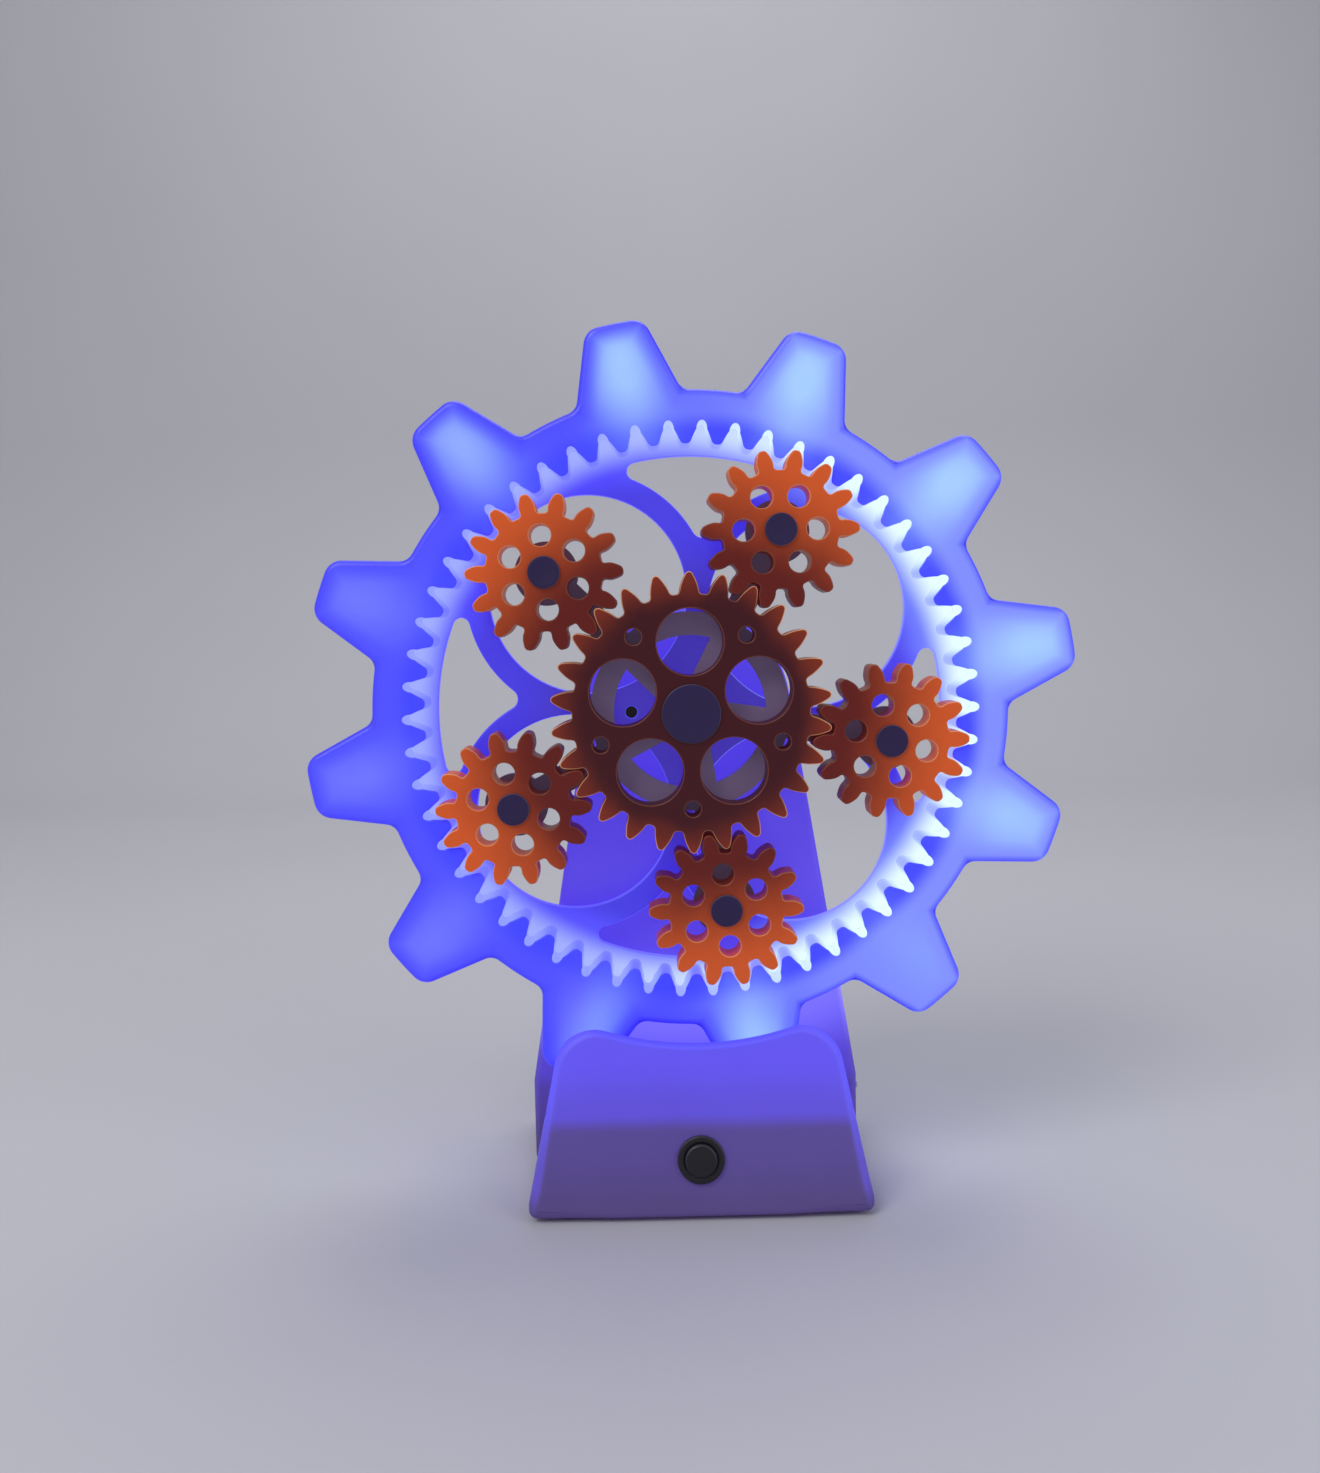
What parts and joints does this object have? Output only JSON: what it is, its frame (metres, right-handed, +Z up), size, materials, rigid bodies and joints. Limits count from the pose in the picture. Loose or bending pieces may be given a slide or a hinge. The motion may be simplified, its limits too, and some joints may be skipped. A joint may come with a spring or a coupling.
{
  "type": "planetary gear night lamp",
  "caption": "Free-standing night lamp: a glowing lobed ring with inner teeth, in which a sun gear drives planet gears on a carrier, on a tapered stand with a push button.",
  "frame": {"origin": "on the floor under the middle of the lamp: the middle of its width and of its depth, at the bottom of the feet", "axes": "+Z up, -Y towards the front of the lamp (the gears and the push button), +X to the right as seen from the front"},
  "size_m": [0.1912, 0.0696, 0.2176],
  "materials": {
    "stand_white": "matte printed plastic",
    "ring_glow": "translucent white plastic lit from inside",
    "plate_glow": "translucent white plastic lit from the ring",
    "gear_orange": "satin orange plastic",
    "cap_navy": "dark blue satin plastic",
    "carrier_white": "matte white plastic",
    "black_plastic": "black plastic",
    "bronze": "sintered bronze",
    "steel": "plain steel",
    "zinc": "bright zinc plate",
    "rubber_grey": "grey rubber",
    "board_green": "solder mask",
    "strip_white": "white flexible strip",
    "chip_light": "lit light chips",
    "wire_red": "wire insulation",
    "wire_white": "wire insulation"
  },
  "bodies": {
    "stand": {"stand_shell": "stand_white", "base_plate": "stand_white", "back_cover": "stand_white", "rubber_feet": "rubber_grey", "base_screws": "zinc", "cover_screws": "zinc", "ring_shell": "ring_glow", "ring_back": "ring_glow", "pinwheel_plate": "plate_glow", "plate_screws": "zinc", "hub_spacer": "stand_white", "hub_bush": "bronze", "light_strip": "strip_white", "light_chips": "chip_light", "light_lead": "wire_white", "lead_grommet": "black_plastic", "gearbox": "steel", "motor_can": "steel", "motor_cap": "black_plastic", "motor_bracket": "black_plastic", "motor_screws": "zinc", "control_board": "board_green", "board_chips": "black_plastic", "board_screws": "zinc", "usb_inlet": "steel", "harness": "wire_red", "button_housing": "black_plastic", "button_nut": "black_plastic", "switch_body": "steel"},
    "sun": {"motor_shaft": "steel", "drive_shaft": "steel", "sun_gear": "gear_orange", "sun_screw": "zinc", "sun_cap": "cap_navy"},
    "carrier": {"carrier": "carrier_white", "carrier_bush": "bronze", "planet_pins": "steel", "planet_caps": "cap_navy"},
    "planet_1": {"planet_gear_1": "gear_orange", "planet_bush_1": "bronze"},
    "planet_2": {"planet_gear_2": "gear_orange", "planet_bush_2": "bronze"},
    "planet_3": {"planet_gear_3": "gear_orange", "planet_bush_3": "bronze"},
    "planet_4": {"planet_gear_4": "gear_orange", "planet_bush_4": "bronze"},
    "planet_5": {"planet_gear_5": "gear_orange", "planet_bush_5": "bronze"},
    "button": {"button_cap": "black_plastic"},
    "switch": {"switch_slider": "strip_white"}
  },
  "joints": [
    {"name": "sun_spin", "type": "hinge", "parent": "stand", "child": "sun", "pos_m": [0, -0.01737, 0.122], "axis": [0, 1, 0], "continuous": true},
    {"name": "carrier_spin", "type": "hinge", "parent": "stand", "child": "carrier", "pos_m": [0, -0.00837, 0.122], "axis": [0, 1, 0], "continuous": true},
    {"name": "planet_1_spin", "type": "hinge", "parent": "carrier", "child": "planet_1", "pos_m": [0.02259, -0.01337, 0.1666], "axis": [0, 1, 0], "continuous": true},
    {"name": "planet_2_spin", "type": "hinge", "parent": "carrier", "child": "planet_2", "pos_m": [0.0494, -0.01337, 0.11429], "axis": [0, 1, 0], "continuous": true},
    {"name": "planet_3_spin", "type": "hinge", "parent": "carrier", "child": "planet_3", "pos_m": [0.00794, -0.01337, 0.07263], "axis": [0, 1, 0], "continuous": true},
    {"name": "planet_4_spin", "type": "hinge", "parent": "carrier", "child": "planet_4", "pos_m": [-0.0445, -0.01337, 0.0992], "axis": [0, 1, 0], "continuous": true},
    {"name": "planet_5_spin", "type": "hinge", "parent": "carrier", "child": "planet_5", "pos_m": [-0.03544, -0.01337, 0.15727], "axis": [0, 1, 0], "continuous": true},
    {"name": "button_press", "type": "slide", "parent": "stand", "child": "button", "axis": [0, 0.9854, -0.1702], "range_m": [0, 0.0012], "stiffness_N_per_m": 400, "springref_m": -0.001},
    {"name": "switch_slide", "type": "slide", "parent": "stand", "child": "switch", "axis": [0, 0, -1], "range_m": [0, 0.003]}
  ],
  "couplings": [
    {"joint": "carrier_spin", "follows": "sun_spin", "ratio": 0.325},
    {"joint": "planet_1_spin", "follows": "sun_spin", "ratio": -1.2536},
    {"joint": "planet_2_spin", "follows": "sun_spin", "ratio": -1.2536},
    {"joint": "planet_3_spin", "follows": "sun_spin", "ratio": -1.2536},
    {"joint": "planet_4_spin", "follows": "sun_spin", "ratio": -1.2536},
    {"joint": "planet_5_spin", "follows": "sun_spin", "ratio": -1.2536}
  ]
}
